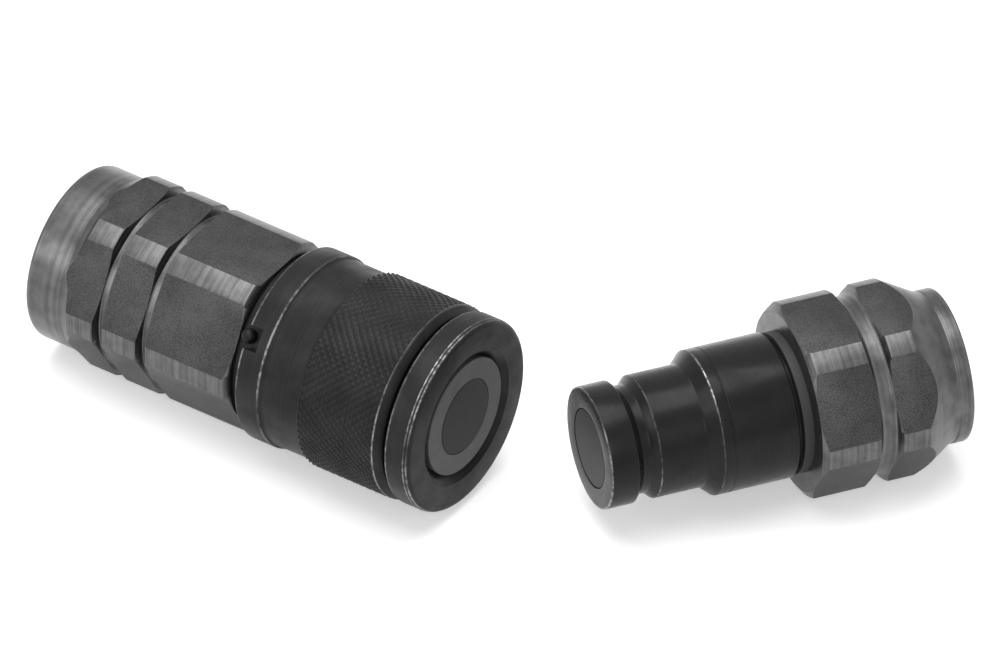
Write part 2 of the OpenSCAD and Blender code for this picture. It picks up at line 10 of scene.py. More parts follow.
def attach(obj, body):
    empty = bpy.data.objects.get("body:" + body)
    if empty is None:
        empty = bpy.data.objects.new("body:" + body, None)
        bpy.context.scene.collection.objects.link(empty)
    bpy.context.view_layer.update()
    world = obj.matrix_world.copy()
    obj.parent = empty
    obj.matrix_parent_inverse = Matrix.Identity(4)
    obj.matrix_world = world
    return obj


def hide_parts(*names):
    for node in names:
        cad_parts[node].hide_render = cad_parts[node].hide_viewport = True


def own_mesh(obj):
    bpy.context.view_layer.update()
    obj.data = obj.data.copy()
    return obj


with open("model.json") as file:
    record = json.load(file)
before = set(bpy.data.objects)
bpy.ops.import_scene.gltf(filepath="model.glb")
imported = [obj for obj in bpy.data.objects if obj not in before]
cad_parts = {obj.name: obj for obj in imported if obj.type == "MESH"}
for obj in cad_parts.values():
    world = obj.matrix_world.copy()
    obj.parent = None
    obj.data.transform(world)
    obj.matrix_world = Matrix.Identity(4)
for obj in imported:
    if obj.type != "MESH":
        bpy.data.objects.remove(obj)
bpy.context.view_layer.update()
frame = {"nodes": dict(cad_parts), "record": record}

bl_info = {
    "name": "Flat-face quick coupling",
    "version": (1, 0, 0),
    "blender": (4, 5, 0),
    "location": "3D Viewport > Sidebar > Coupling",
    "description": "Dresses the two halves of an uncoupled flat-face quick coupling",
    "category": "Add Mesh",
}

MM = 0.001
STEPS = 192
HALVES = {
    "socket": ("socket_port", "socket_body"),
    "plug": ("plug_port", "plug_body"),
}
SLEEVE_SPRING = "sleeve_spring"


# ---------------------------------------------------------------- sizes


def length(name, mm, description):
    """A size in metres, given in millimetres."""
    return FloatProperty(name=name, description=description, default=mm * MM, min=0, unit="LENGTH", precision=5)


def grey(name, value, description):
    """A neutral finish colour."""
    return FloatVectorProperty(
        name=name, description=description, default=(value, value, value), min=0, max=1, size=3, subtype="COLOR"
    )


class CouplingSocketSizes(bpy.types.PropertyGroup):
    flange_l: length("Flange length", 5.9, "Length of the front flange")
    flange_round: length("Flange rounding", 1.2, "Rounding of the flange's front edge")
    mouth_bevel: length("Mouth bevel", 1.7, "Depth of the bevel at the mouth")
    lead_l: length("Sleeve lead", 1.8, "Smooth front edge of the sleeve before the knurl")
    knurl_l: length("Knurl length", 17.4, "Length of the knurled part of the sleeve")
    waist_r: length("Waist radius", 19.5, "Radius of the sleeve behind the knurl")
    band_l: length("Rear band", 5.8, "Length of the sleeve's rear band")
    band_r: length("Band radius", 20, "Radius of the sleeve's rear band")
    notch_w: length("Notch width", 4.8, "Width of the release notch")
    notch_l: length("Notch length", 3.2, "Length of the release notch")
    notch_angle: FloatProperty(
        name="Notch angle", description="Angle of the notch from straight up", default=math.radians(52), subtype="ANGLE"
    )
    groove_w: length("Groove width", 2.4, "Width of the grooves between the hexagons")
    groove_floor: length("Groove floor", 17.65, "Radius at the bottom of the grooves")
    hex_l: length("Front hexagon", 19.3, "Length of the front hexagon")
    hex2_l: length("Middle hexagon", 7.9, "Length of the middle hexagon")
    hex3_l: length("Rear hexagon", 6.1, "Length of the rear hexagon")
    step_l: length("Step", 2.4, "Length of the step behind the hexagons")
    end_r: length("Rear radius", 17.95, "Radius of the turned rear end")


class CouplingPlugSizes(bpy.types.PropertyGroup):
    groove_front: length("Groove distance", 5.7, "Distance from the face to the ball groove")
    groove_w: length("Groove width", 4.7, "Width of the ball groove")
    groove_deep: length("Groove depth", 1.45, "Depth of the ball groove")
    nose_l: length("Nose length", 20.2, "Length of the nose up to the shoulder's cone")
    cone_l: length("Shoulder cone", 2.4, "Length of the cone up to the shoulder")
    shoulder_l: length("Shoulder length", 15.8, "Length of the shoulder behind its cone")
    line_at: length("Line distance", 2.2, "Distance of the fine turned line from the cone")
    neck_r: length("Neck radius", 13.2, "Radius of the neck in front of the hexagon")
    hex_l: length("Front hexagon", 11.7, "Length of the front hexagon")
    groove2_w: length("Adapter groove", 4.8, "Width of the turned groove between the hexagons")
    groove2_floor: length("Adapter groove floor", 17.7, "Radius at the bottom of that groove")
    hex2_l: length("Rear hexagon", 5.4, "Length of the rear hexagon")
    cone_r: length("Cone end radius", 15.05, "Radius at the small end of the rear cone")
    collar_l: length("Collar length", 2.6, "Length of the rear collar")
    collar_r: length("Collar radius", 15.3, "Radius of the rear collar")


class CouplingSharedSizes(bpy.types.PropertyGroup):
    nose_r: length("Nose radius", 12.25, "Radius of the plug's nose and the socket's valve sleeve")
    flat_r: length("Flat distance", 18, "Distance of the hexagon's flats from the axis")
    hex_r: length("Corner radius", 19.6, "Radius to which the hexagon's corners are turned")
    hex_bevel: length("Hexagon bevel", 1.5, "How far the hexagon's front corners are bevelled")
    port_minor: length("Thread inner radius", 9.32, "Inner radius of the pipe thread")
    port_major: length("Thread outer radius", 10.48, "Outer radius of the pipe thread")
    port_pitch: length("Thread pitch", 1.814, "Pitch of the pipe thread")
    port_l: length("Port depth", 14, "Depth of a port")
    flow_r: length("Flow radius", 8.5, "Radius of the bore behind a port")
    flat_edge: length("Flat edge", 0.12, "Softening of the edges of the flats")
    knurl_pitch: length("Knurl pitch", 1.82, "Distance between the points of the knurl along the sleeve")
    knurl_deep: length("Knurl depth", 0.45, "Height of the knurl's points")
    knurl_around: IntProperty(name="Knurl points", description="Points of the knurl around the sleeve", default=70, min=8)


class CouplingColours(bpy.types.PropertyGroup):
    black: grey("Black steel", 0.007, "Phosphated steel of the sleeve and flange")
    nose: grey("Nose steel", 0.005, "Hardened black steel of the plug's body")
    plated: grey("Plated steel", 0.1, "Turned surfaces of the adapters")
    flats: grey("Flats", 0.032, "Granular flats of the adapters")
    worn: grey("Worn steel", 0.3, "Bare steel at rubbed edges")
    valve: grey("Valve sleeve", 0.06, "Matte face of the valve sleeve")
    stem: grey("Centre valves", 0.008, "Dark faces of the centre valves")
    floor: grey("Floor", 0.8, "Pale floor")


# Camera: its right and down directions, its place from the socket's front centre, and its lens
CAMERA_RIGHT = (0.99968, 0.01642, 0.019255)
CAMERA_DOWN = (0.025306, -0.645451, -0.763383)
CAMERA_OFFSET = (0.006803, -5.670887, 4.816794)
CAMERA_LENS = 1383.8


# ---------------------------------------------------------------- frame of each half


def half_matrix(name):
    """Matrix from a half's own frame (+Z rearwards from its front face) to the row frame."""
    port, body = HALVES[name]
    mount = next(m for m in frame["record"]["mounts"] if m["name"] == port)
    axis = Vector(mount["axis"]).normalized()
    point = Vector(mount["pos_m"])
    front = min((v.co - point).dot(axis) for v in frame["nodes"][body].data.vertices)
    side = Vector((-axis.y, axis.x, 0)).normalized()
    down = side.cross(axis)
    turn = Matrix((down, side, axis)).transposed()
    return Matrix.Translation(point + axis * front) @ turn.to_4x4()


PLACE = {name: half_matrix(name) for name in HALVES}


def span(half, node):
    """First and last distance of a CAD node from the half's front face, and its largest radius."""
    inverse = PLACE[half].inverted()
    points = [inverse @ v.co for v in frame["nodes"][node].data.vertices]
    return min(p.z for p in points), max(p.z for p in points), max(math.hypot(p.x, p.y) for p in points)


# ---------------------------------------------------------------- mesh helpers


def soften(corners, segments=4):
    """Rounds the corners of a closed outline. Each corner is (radius, distance) or (radius, distance, rounding)."""
    path = []
    count = len(corners)
    for i, corner in enumerate(corners):
        here = Vector(corner[:2])
        if len(corner) < 3:
            path.append(here)
            continue
        before = (Vector(corners[i - 1][:2]) - here)
        after = (Vector(corners[(i + 1) % count][:2]) - here)
        half_angle = before.angle(after) / 2
        cut = min(corner[2] / math.tan(half_angle), 0.49 * before.length, 0.49 * after.length)
        radius = cut * math.tan(half_angle)
        start = here + before.normalized() * cut
        end = here + after.normalized() * cut
        middle = here + (before.normalized() + after.normalized()).normalized() * (radius / math.sin(half_angle))
        for k in range(segments + 1):
            blend = start.lerp(end, k / segments) - middle
            path.append(middle + blend.normalized() * radius)
    return path


def lathe(bm, path, steps=STEPS):
    """Spins a closed outline of (radius, distance) points about the Z axis."""
    verts = [bm.verts.new((p[0], 0, p[1])) for p in path]
    edges = [bm.edges.new((a, b)) for a, b in zip(verts, verts[1:] + verts[:1])]
    bmesh.ops.spin(
        bm, geom=verts + edges, cent=(0, 0, 0), axis=(0, 0, 1), angle=math.tau, steps=steps, use_merge=True,
        use_duplicate=False,
    )
    bmesh.ops.recalc_face_normals(bm, faces=bm.faces)


def cut_flats(bm, distance, z0, z1, material):
    """Mills six flats over the whole piece, one of them facing up. z0 and z1 are not used."""
    for k in range(6):
        angle = math.radians(180 + 60 * k)
        normal = Vector((math.cos(angle), math.sin(angle), 0))
        cut = bmesh.ops.bisect_plane(
            bm, geom=bm.verts[:] + bm.edges[:] + bm.faces[:], dist=1e-7, plane_co=normal * distance,
            plane_no=normal, clear_outer=True,
        )
        rims = [e for e in cut["geom_cut"] if isinstance(e, bmesh.types.BMEdge) and e.is_boundary]
        filled = bmesh.ops.edgenet_fill(bm, edges=rims)
        for face in filled["faces"]:
            face.material_index = material
            if face.normal.dot(normal) < 0:
                face.normal_flip()


def soften_flats(bm, width, material):
    """Rounds the edges between the flats and the turned surfaces."""
    edges = [
        e for e in bm.edges
        if len(e.link_faces) == 2 and sum(f.material_index == material for f in e.link_faces) == 1
    ]
    bmesh.ops.bevel(
        bm, geom=edges, offset=width, segments=1, profile=0.5, affect="EDGES", material=-1, clamp_overlap=True
    )


def thread_ridge(minor, major, pitch, z0, z1):
    """A helical ridge of a pipe thread, on the wall of a bore, as a mesh of its own."""
    bm = bmesh.new()
    base = pitch * 0.46
    crest = pitch * 0.09
    corners = [(major + 0.1 * MM, -base), (minor, -crest), (minor, crest), (major + 0.1 * MM, base)]
    turns = (z1 - z0 - 2 * base) / pitch
    steps = int(72 * turns)
    verts = [bm.verts.new((r, 0, z0 + base + z)) for r, z in corners]
    face = bm.faces.new(verts)
    bmesh.ops.spin(
        bm, geom=[face] + face.edges[:] + verts, cent=(0, 0, 0), axis=(0, 0, 1),
        dvec=(0, 0, pitch * turns / steps), angle=math.tau * turns, steps=steps, use_duplicate=False,
    )
    bmesh.ops.recalc_face_normals(bm, faces=bm.faces)
    return bm


def merge(bm, other):
    """Adds the faces of another bmesh, and frees it."""
    mesh = bpy.data.meshes.new("part")
    other.to_mesh(mesh)
    other.free()
    bm.from_mesh(mesh)
    bpy.data.meshes.remove(mesh)


def finish_piece(bm, name, half, body, node, materials, smooth_angle=35):
    """Puts a half's mesh in its place as one piece that stands for a CAD node."""
    mesh = bpy.data.meshes.new(name)
    bm.to_mesh(mesh)
    bm.free()
    mesh.transform(PLACE[half])
    for material in materials:
        mesh.materials.append(material)
    mesh.shade_smooth()
    mesh.set_sharp_from_angle(angle=math.radians(smooth_angle))
    piece = bpy.data.objects.new(name, mesh)
    bpy.context.scene.collection.objects.link(piece)
    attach(piece, body)
    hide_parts(node)
    return piece


# ---------------------------------------------------------------- material helpers


class Shader:
    """Short calls for building one material's nodes."""

    def __init__(self, name, half):
        self.material = bpy.data.materials.new(name)
        self.material.use_nodes = True
        self.tree = self.material.node_tree
        self.tree.nodes.clear()
        self.surface = self.add("ShaderNodeBsdfPrincipled")
        output = self.add("ShaderNodeOutputMaterial")
        self.tree.links.new(self.surface.outputs[0], output.inputs["Surface"])
        self.place(half)

    def add(self, kind, **settings):
        node = self.tree.nodes.new(kind)
        for key, value in settings.items():
            setattr(node, key, value)
        return node

    def feed(self, socket, value):
        """Links an output, or sets a plain value."""
        if isinstance(value, bpy.types.NodeSocket):
            self.tree.links.new(value, socket)
        elif hasattr(socket.default_value, "__len__") and not hasattr(value, "__len__"):
            socket.default_value = [value] * 3 + [1] * (len(socket.default_value) - 3)
        elif hasattr(value, "__len__") and len(socket.default_value) == 4 and len(value) == 3:
            socket.default_value = (*value, 1)
        else:
            socket.default_value = value

    def place(self, half):
        """Object coordinates turned into the half's own frame, in millimetres."""
        coordinates = self.add("ShaderNodeTexCoord").outputs["Object"]
        mapping = self.add("ShaderNodeMapping")
        inverse = PLACE[half].inverted()
        mapping.inputs["Scale"].default_value = (1 / MM,) * 3
        mapping.inputs["Rotation"].default_value = inverse.to_euler("XYZ")
        mapping.inputs["Location"].default_value = inverse.translation / MM
        self.feed(mapping.inputs["Vector"], coordinates)
        self.point = mapping.outputs["Vector"]
        split = self.add("ShaderNodeSeparateXYZ")
        self.feed(split.inputs[0], self.point)
        self.x, self.y, self.z = split.outputs
        self.r = self.maths("SQRT", self.maths("ADD", self.maths("MULTIPLY", self.x, self.x),
                                               self.maths("MULTIPLY", self.y, self.y)))
        self.along = self.maths("MULTIPLY_ADD", self.r, 1.3, self.z)

    def maths(self, operation, a, b=0.0, c=0.0, clamp=False):
        node = self.add("ShaderNodeMath", operation=operation, use_clamp=clamp)
        for socket, value in zip(node.inputs, (a, b, c)):
            self.feed(socket, value)
        return node.outputs[0]

    def noise(self, scale, detail=2.0, rough=0.5, line=None, distortion=0.0):
        """Noise of so many waves a millimetre, in space, or along one value only."""
        node = self.add("ShaderNodeTexNoise", noise_dimensions="3D" if line is None else "1D")
        if line is None:
            self.feed(node.inputs["Vector"], self.point)
        else:
            self.feed(node.inputs["W"], line)
        for key, value in (("Scale", scale), ("Detail", detail), ("Roughness", rough), ("Distortion", distortion)):
            self.feed(node.inputs[key], value)
        return node.outputs["Fac"]

    def cells(self, scale, randomness=1.0):
        node = self.add("ShaderNodeTexVoronoi", feature="F1")
        self.feed(node.inputs["Vector"], self.point)
        self.feed(node.inputs["Scale"], scale)
        self.feed(node.inputs["Randomness"], randomness)
        return node.outputs["Distance"]

    def ramp(self, value, low, high, to_low=0.0, to_high=1.0, smooth=True):
        node = self.add("ShaderNodeMapRange", interpolation_type="SMOOTHSTEP" if smooth else "LINEAR")
        for socket, given in zip(node.inputs, (value, low, high, to_low, to_high)):
            self.feed(socket, given)
        return node.outputs[0]

    def near(self, value, centre, reach):
        """1 at the centre, falling to 0 at the reach on either side."""
        return self.ramp(self.maths("ABSOLUTE", self.maths("SUBTRACT", value, centre)), 0, reach, 1, 0)

    def mix(self, factor, a, b):
        node = self.add("ShaderNodeMix", data_type="RGBA")
        self.feed(node.inputs["Factor"], factor)
        self.feed(node.inputs["A"], a)
        self.feed(node.inputs["B"], b)
        return node.outputs["Result"]

    def bump(self, height, distance_mm, strength=1.0, before=None):
        node = self.add("ShaderNodeBump")
        self.feed(node.inputs["Strength"], strength)
        self.feed(node.inputs["Distance"], distance_mm * MM)
        self.feed(node.inputs["Height"], height)
        if before is not None:
            self.feed(node.inputs["Normal"], before)
        return node.outputs["Normal"]

    def set(self, **values):
        for key, value in values.items():
            self.feed(self.surface.inputs[key.replace("_", " ")], value)
        return self.material


def scaled(colour, factor):
    return tuple(min(1.0, c * factor) for c in colour)


def turned_steel(name, half, colour):
    """Bright steel with fine marks of the turning tool."""
    s = Shader(name, half)
    fine = s.noise(7, 3, 0.6, line=s.along)
    broad = s.noise(0.9, 2, 0.5, line=s.along)
    patches = s.noise(0.35, 3, 0.6)
    tone = s.maths("MULTIPLY_ADD", broad, 0.5, s.maths("MULTIPLY", patches, 0.5))
    colours = s.mix(s.ramp(tone, 0.3, 0.7), scaled(colour, 0.7), scaled(colour, 1.3))
    rough = s.ramp(fine, 0.25, 0.75, 0.26, 0.4)
    normal = s.bump(fine, 0.006, 0.5)
    return s.set(Base_Color=colours, Metallic=1.0, Roughness=rough, Normal=normal)


def granular_steel(name, half, colour):
    """Steel with the dull grain of a forged or blasted flat."""
    s = Shader(name, half)
    grain = s.noise(6.0, 3, 0.7)
    cells = s.cells(5.0)
    pits = s.ramp(cells, 0.15, 0.5)
    tone = s.maths("MULTIPLY_ADD", pits, 0.35, s.maths("MULTIPLY", grain, 0.65))
    large = s.noise(0.22, 2, 0.5)
    tone = s.maths("ADD", tone, s.maths("MULTIPLY_ADD", large, 0.24, -0.12))
    colours = s.mix(s.ramp(tone, 0.38, 0.74), scaled(colour, 0.6), scaled(colour, 2.2))
    rough = s.ramp(grain, 0.3, 0.7, 0.34, 0.6)
    normal = s.bump(tone, 0.02, 0.6)
    return s.set(Base_Color=colours, Metallic=1.0, Roughness=rough, Normal=normal)


def black_steel(name, half, colour, worn, wear_rings, rough_low=0.34, rough_high=0.52):
    """Phosphated steel, rubbed bright in rings given as (distance, reach, radius above which it wears)."""
    s = Shader(name, half)
    cloud = s.noise(0.16, 3, 0.55)
    grain = s.noise(4.5, 2, 0.5)
    streak = s.noise(2.2, 2, 0.5, line=s.along)
    tone = s.maths("MULTIPLY_ADD", cloud, 0.7, s.maths("MULTIPLY", streak, 0.3))
    colours = s.mix(s.ramp(tone, 0.3, 0.72), scaled(colour, 0.7), scaled(colour, 2.1))
    worn_amount = None
    scuffs = s.ramp(s.noise(0.8, 3, 0.6), 0.36, 0.6, 0.25, 1)
    patch = s.ramp(s.noise(0.06, 2, 0.5), 0.4, 0.6, 0.2, 1)
    for distance, reach, radius in wear_rings:
        band = s.near(s.z, distance, reach)
        outside = s.ramp(s.r, radius - 0.25, radius)
        here = s.maths("MULTIPLY", s.maths("MULTIPLY", band, outside), s.maths("MULTIPLY", scuffs, patch))
        worn_amount = here if worn_amount is None else s.maths("MAXIMUM", worn_amount, here)
    rough = s.ramp(tone, 0.3, 0.7, rough_high, rough_low)
    normal = s.bump(grain, 0.01, 0.5)
    if worn_amount is None:
        return s.set(Base_Color=colours, Specular_IOR_Level=0.16, Roughness=rough, Normal=normal)
    return s.set(
        Specular_IOR_Level=0.16, Base_Color=s.mix(worn_amount, colours, worn), Metallic=worn_amount, Roughness=rough, Normal=normal
    )


def matte_face(name, half, colour, rough):
    """Fine matte face of a valve."""
    s = Shader(name, half)
    grain = s.noise(5.0, 3, 0.6)
    cloud = s.noise(0.3, 2, 0.5)
    tone = s.maths("MULTIPLY_ADD", grain, 0.5, s.maths("MULTIPLY", cloud, 0.5))
    colours = s.mix(s.ramp(tone, 0.3, 0.7), scaled(colour, 0.85), scaled(colour, 1.2))
    return s.set(Base_Color=colours, Specular_IOR_Level=0.25, Roughness=rough, Normal=s.bump(grain, 0.01, 0.4))


def wire_steel(name, half, colour):
    s = Shader(name, half)
    streak = s.noise(1.5, 2, 0.5)
    return s.set(
        Base_Color=s.mix(streak, scaled(colour, 0.7), scaled(colour, 1.2)), Metallic=1.0,
        Roughness=s.ramp(streak, 0.3, 0.7, 0.25, 0.4),
    )


def soft_rubber(name, half, value):
    s = Shader(name, half)
    grain = s.noise(6.0, 2, 0.5)
    return s.set(
        Base_Color=s.mix(grain, (value * 0.8,) * 3, (value * 1.3,) * 3), Roughness=0.62,
        Normal=s.bump(grain, 0.01, 0.4),
    )


# ---------------------------------------------------------------- pieces


def settings():
    scene = bpy.context.scene
    return scene.coupling_socket, scene.coupling_plug, scene.coupling_shared, scene.coupling_colours


class COUPLING_OT_socket_body(bpy.types.Operator):
    """Makes the socket's body with its flange and mouth"""

    bl_idname = "coupling.socket_body"
    bl_label = "Socket body"

    def execute(self, context):
        sizes, _plug, shared, colours = settings()
        _front, rear, flange_r = span("socket", "socket_body")
        cage_r = span("socket", "stem_spider")[2]
        bore = shared.nose_r + 0.05 * MM
        back = shared.nose_r + 0.8 * MM
        step = span("socket", "valve_sleeve")[1] - 3.03 * MM
        outline = [
            (bore + sizes.mouth_bevel + 0.2 * MM, 0, 0.12 * MM),
            (flange_r, 0, sizes.flange_round),
            (flange_r, sizes.flange_l, 0.9 * MM),
            (cage_r, sizes.flange_l),
            (cage_r, rear),
            (back, rear),
            (back, step),
            (bore, step),
            (bore, sizes.mouth_bevel, 0.2 * MM),
        ]
        bm = bmesh.new()
        lathe(bm, soften(outline, 6))
        finish = black_steel(
            "black_steel_socket", "socket", colours.black, colours.worn,
            [(sizes.flange_l / MM - 0.5, 0.35, flange_r / MM - 0.5), (0.6, 0.25, flange_r / MM - 0.9), (1.2, 0.25, flange_r / MM - 0.2)],
        )
        finish_piece(bm, "socket_body_piece", "socket", "housings", "socket_body", [finish])
        return {"FINISHED"}


def knurl_height(u, v):
    """Height of a diamond knurl, 0 in the grooves and 1 at the points, one diamond to a unit."""
    across = abs((u + v) % 1 - 0.5) * 2
    along = abs((u - v) % 1 - 0.5) * 2
    return min(1 - across, 1 - along)


class COUPLING_OT_sleeve(bpy.types.Operator):
    """Makes the knurled locking sleeve with its release notch"""

    bl_idname = "coupling.sleeve"
    bl_label = "Locking sleeve"
    grid = 6
    valley_r = 19.85 * MM
    recess_end = 13.55 * MM
    land_start = 14.55 * MM
    land_end = 18.35 * MM

    def execute(self, context):
        sizes, _plug, shared, colours = settings()
        z0, z1, _outer = span("socket", "locking_sleeve")
        valley = self.valley_r
        inner = span("socket", "sleeve_guide_ring")[2] + 0.05 * MM
        land = span("socket", "stem_spider")[2] + 0.05 * MM
        recess = land + 1.25 * MM
        k0 = z0 + sizes.lead_l
        k1 = k0 + sizes.knurl_l
        band = z1 - sizes.band_l
        rows = round(sizes.knurl_l / shared.knurl_pitch)
        cell = sizes.knurl_l / rows / self.grid
        knurl_line = [(valley, k0 + i * cell) for i in range(rows * self.grid + 1)]
        corners = [
            (recess, z0, 0.1 * MM), (sizes.waist_r - 0.7 * MM, z0, 0.3 * MM),
            (valley + 0.3 * MM, k0 - 0.6 * MM, 0.9 * MM), (valley + 0.3 * MM, k0 - 0.05 * MM),
        ] + knurl_line + [
            (sizes.waist_r, k1 + 0.6 * MM, 0.3 * MM),
            (sizes.waist_r, band, 0.3 * MM), (sizes.band_r, band + 0.5 * MM, 0.2 * MM),
            (sizes.band_r, z1, 0.35 * MM), (inner, z1, 0.1 * MM),
            (inner, self.land_end), (land, self.land_end), (land, self.land_start), (recess, self.recess_end),
        ]
        bm = bmesh.new()
        lathe(bm, soften(corners, 4), shared.knurl_around * self.grid)
        self.notch(bm, sizes, z1, inner)
        for vert in bm.verts:
            r = math.hypot(vert.co.x, vert.co.y)
            if k0 - cell / 2 < vert.co.z < k1 + cell / 2 and abs(r - valley) < 0.01 * MM:
                u = math.atan2(vert.co.y, vert.co.x) / math.tau * shared.knurl_around
                v = (vert.co.z - k0) / (self.grid * cell)
                rise = shared.knurl_deep * min(0.86, knurl_height(u, v)) / 0.86
                vert.co.xy *= (r + rise) / r
        finish = black_steel(
            "black_steel_sleeve", "socket", colours.black, colours.worn,
            [(z0 / MM + 1.6, 0.3, 19.6), (band / MM + 0.5, 0.3, 19.7), (z1 / MM - 0.3, 0.3, 19.6)],
        )
        finish_piece(bm, "locking_sleeve_piece", "socket", "sleeve", "locking_sleeve", [finish], 50)
        return {"FINISHED"}

    def notch(self, bm, sizes, z1, inner):
        """Cuts the release notch out of the rear edge."""
        mesh = bpy.data.meshes.new("sleeve_blank")
        bm.to_mesh(mesh)
        blank = bpy.data.objects.new("sleeve_blank", mesh)
        cutter_mesh = bpy.data.meshes.new("notch_cutter")
        box = bmesh.new()
        bmesh.ops.create_cube(box, size=1)
        bmesh.ops.scale(box, vec=(6 * MM, sizes.notch_w, 2 * sizes.notch_l), verts=box.verts)
        bmesh.ops.translate(box, vec=(inner + 2 * MM, 0, z1), verts=box.verts)
        bmesh.ops.rotate(
            box, cent=(0, 0, 0), matrix=Matrix.Rotation(math.pi - sizes.notch_angle, 3, "Z"), verts=box.verts
        )
        box.to_mesh(cutter_mesh)
        box.free()
        cutter = bpy.data.objects.new("notch_cutter", cutter_mesh)
        for thing in (blank, cutter):
            bpy.context.scene.collection.objects.link(thing)
        cut = blank.modifiers.new("notch", "BOOLEAN")
        cut.operation = "DIFFERENCE"
        cut.solver = "EXACT"
        cut.object = cutter
        made = blank.evaluated_get(bpy.context.evaluated_depsgraph_get()).to_mesh()
        bm.clear()
        bm.from_mesh(made)
        for thing in (blank, cutter):
            bpy.data.objects.remove(thing)
        bpy.data.meshes.remove(mesh)
        bpy.data.meshes.remove(cutter_mesh)


def port_outline(z1, shared):
    """Outline of a port, from its mouth inwards: bevel, thread root and runout."""
    root = shared.port_major + 0.05 * MM
    return [
        (root + 0.35 * MM, z1, 0.15 * MM), (root, z1 - 0.5 * MM),
        (root, z1 - shared.port_l, 0.3 * MM), (shared.flow_r, z1 - shared.port_l, 0.15 * MM),
    ]


class COUPLING_OT_socket_adapter(bpy.types.Operator):
    """Makes the socket's hexagon adapter with its grooves and port"""

    bl_idname = "coupling.socket_adapter"
    bl_label = "Socket adapter"
    well_r = 11.45 * MM
    well_l = 6.2 * MM
    well_cone_l = 2.5 * MM

    def execute(self, context):
        sizes, _plug, shared, colours = settings()
        z0, z1, _outer = span("socket", "socket_adapter")
        spider_z1 = span("socket", "stem_spider")[1]
        well_end = spider_z1 + self.well_l
        bore = span("socket", "stem_spider")[2] + 0.03 * MM
        hex_r, floor, w = shared.hex_r, sizes.groove_floor, sizes.groove_w
        g1 = z0 + sizes.hex_l
        g2 = g1 + w + sizes.hex2_l
        step = g2 + w + sizes.hex3_l
        slope = 0.5 * MM
        outline = [
            (bore, z0, 0.15 * MM),
            (hex_r - shared.hex_bevel, z0, 0.2 * MM), (hex_r, z0 + 1 * MM, 0.4 * MM),
            (hex_r, g1, 0.25 * MM), (floor, g1 + slope, 0.3 * MM),
            (floor, g1 + w - slope, 0.3 * MM), (hex_r, g1 + w, 0.25 * MM),
            (hex_r, g2, 0.25 * MM), (floor, g2 + slope, 0.3 * MM),
            (floor, g2 + w - slope, 0.3 * MM), (hex_r, g2 + w, 0.25 * MM),
            (hex_r, step, 0.25 * MM), (sizes.end_r + 0.35 * MM, step + 0.9 * MM, 0.8 * MM),
            (sizes.end_r, step + sizes.step_l, 1.5 * MM),
            (sizes.end_r, z1, 1 * MM),
        ] + port_outline(z1, shared) + [
            (shared.flow_r, well_end + self.well_cone_l, 0.3 * MM), (self.well_r, well_end, 0.3 * MM),
            (self.well_r, spider_z1), (bore, spider_z1),
        ]
        bm = bmesh.new()
        lathe(bm, soften(outline, 5))
        cut_flats(bm, shared.flat_r, z0, z1, 1)
        soften_flats(bm, shared.flat_edge, 1)
        merge(bm, thread_ridge(
            shared.port_minor, shared.port_major, shared.port_pitch, z1 - shared.port_l + 2.2 * MM, z1 - 0.2 * MM
        ))
        finishes = [
            turned_steel("turned_steel_socket", "socket", colours.plated),
            granular_steel("granular_steel_socket", "socket", colours.flats),
        ]
        finish_piece(
            bm, "socket_adapter_piece", "socket", "housings", "socket_adapter", finishes
        )
        return {"FINISHED"}


class COUPLING_OT_plug_body(bpy.types.Operator):
    """Makes the plug's body with its nose, ball groove and shoulder"""

    bl_idname = "coupling.plug_body"
    bl_label = "Plug body"
    chamber_r = 10.2 * MM
    seat_start = 8.5 * MM
    seat_end = 10.65 * MM

    def execute(self, context):
        _socket, sizes, shared, colours = settings()
        _front, rear, shoulder = span("plug", "plug_body")
        nose = shared.nose_r
        floor = nose - sizes.groove_deep
        g0 = sizes.groove_front
        g1 = g0 + sizes.groove_w
        s0 = sizes.nose_l + sizes.cone_l
        line = s0 + sizes.line_at
        s1 = s0 + sizes.shoulder_l
        neck_end = span("plug", "plug_adapter")[0] - 0.03 * MM
        chamber = self.chamber_r
        bore = span("plug", "plug_valve_seal")[2] + 0.03 * MM
        thread = sizes.neck_r - 0.1 * MM
        outline = [
            (bore, 0, 0.15 * MM), (nose, 0, 0.4 * MM),
            (nose, g0, 0.25 * MM), (floor, g0 + sizes.groove_deep, 0.5 * MM),
            (floor, g1 - sizes.groove_deep, 0.5 * MM), (nose, g1, 0.25 * MM),
            (nose, sizes.nose_l, 0.6 * MM), (shoulder, s0, 0.35 * MM),
            (shoulder, line, 0.04 * MM), (shoulder - 0.12 * MM, line + 0.12 * MM, 0.05 * MM),
            (shoulder - 0.12 * MM, line + 0.28 * MM, 0.05 * MM), (shoulder, line + 0.4 * MM, 0.04 * MM),
            (shoulder, s1, 0.4 * MM), (sizes.neck_r, s1, 0.2 * MM), (sizes.neck_r, neck_end),
            (thread, neck_end), (thread, rear), (chamber, rear), (chamber, self.seat_end, 0.3 * MM),
            (bore, self.seat_start, 0.2 * MM),
        ]
        bm = bmesh.new()
        lathe(bm, soften(outline, 5))
        finish = black_steel(
            "nose_steel", "plug", colours.nose, colours.worn,
            [(0.15, 0.25, 11.9), (g1 / MM, 0.2, 12.1), (s0 / MM + 0.05, 0.25, 14.3)], 0.16, 0.34,
        )
        finish_piece(bm, "plug_body_piece", "plug", "housings", "plug_body", [finish])
        return {"FINISHED"}


